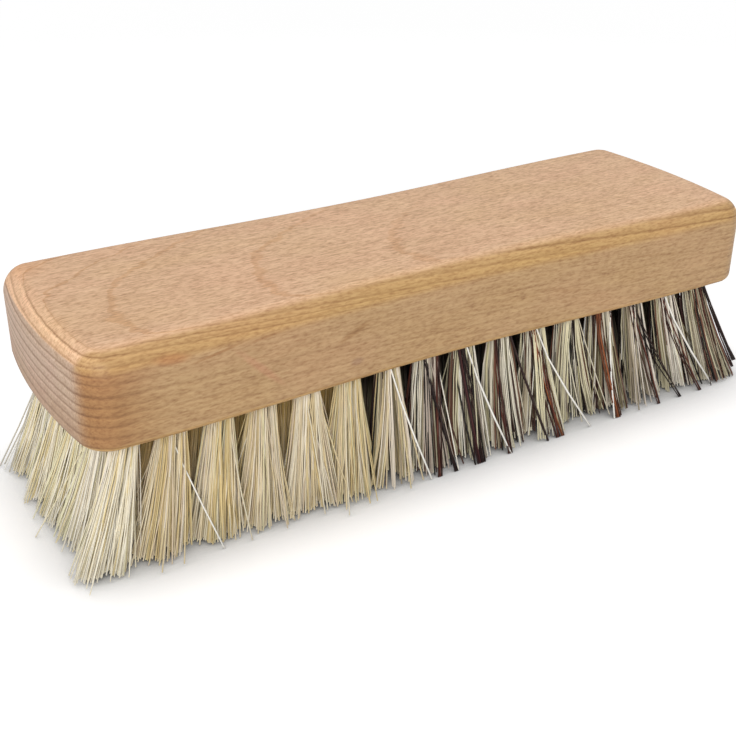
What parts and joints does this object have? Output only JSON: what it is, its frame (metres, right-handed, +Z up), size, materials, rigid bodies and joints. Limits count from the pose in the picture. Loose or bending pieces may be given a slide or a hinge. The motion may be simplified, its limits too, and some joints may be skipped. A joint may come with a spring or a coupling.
{
  "type": "vegetable brush",
  "caption": "Rectangular wooden hand brush whose bored block holds rows of fibre tufts, soft at one end and firm over the rest, for scrubbing vegetables.",
  "frame": {"origin": "middle of the trimmed fibre tips, on the plane that the brush stands on", "axes": "+X along the length, away from the soft fibre; +Y across the brush; +Z up through the top of the block"},
  "size_m": [0.1534, 0.048, 0.043],
  "materials": {
    "beech": "sanded beech, lightly oiled",
    "soft_fibre": "cream plant fibre, trimmed",
    "firm_fibre": "mixed cream, red-brown and dark plant fibre, trimmed",
    "anchor_wire": "flat drawn wire"
  },
  "bodies": {
    "root": {"block": "beech", "soft_tufts_01": "soft_fibre", "soft_tufts_02": "soft_fibre", "soft_tufts_03": "soft_fibre", "soft_tufts_04": "soft_fibre", "soft_tufts_05": "soft_fibre", "soft_tufts_06": "soft_fibre", "firm_tufts_07": "firm_fibre", "firm_tufts_08": "firm_fibre", "firm_tufts_09": "firm_fibre", "firm_tufts_10": "firm_fibre", "firm_tufts_11": "firm_fibre", "firm_tufts_12": "firm_fibre", "firm_tufts_13": "firm_fibre", "firm_tufts_14": "firm_fibre", "firm_tufts_15": "firm_fibre", "firm_tufts_16": "firm_fibre", "anchors_01": "anchor_wire", "anchors_02": "anchor_wire", "anchors_03": "anchor_wire", "anchors_04": "anchor_wire", "anchors_05": "anchor_wire", "anchors_06": "anchor_wire", "anchors_07": "anchor_wire", "anchors_08": "anchor_wire", "anchors_09": "anchor_wire", "anchors_10": "anchor_wire", "anchors_11": "anchor_wire", "anchors_12": "anchor_wire", "anchors_13": "anchor_wire", "anchors_14": "anchor_wire", "anchors_15": "anchor_wire", "anchors_16": "anchor_wire"}
  },
  "joints": []
}
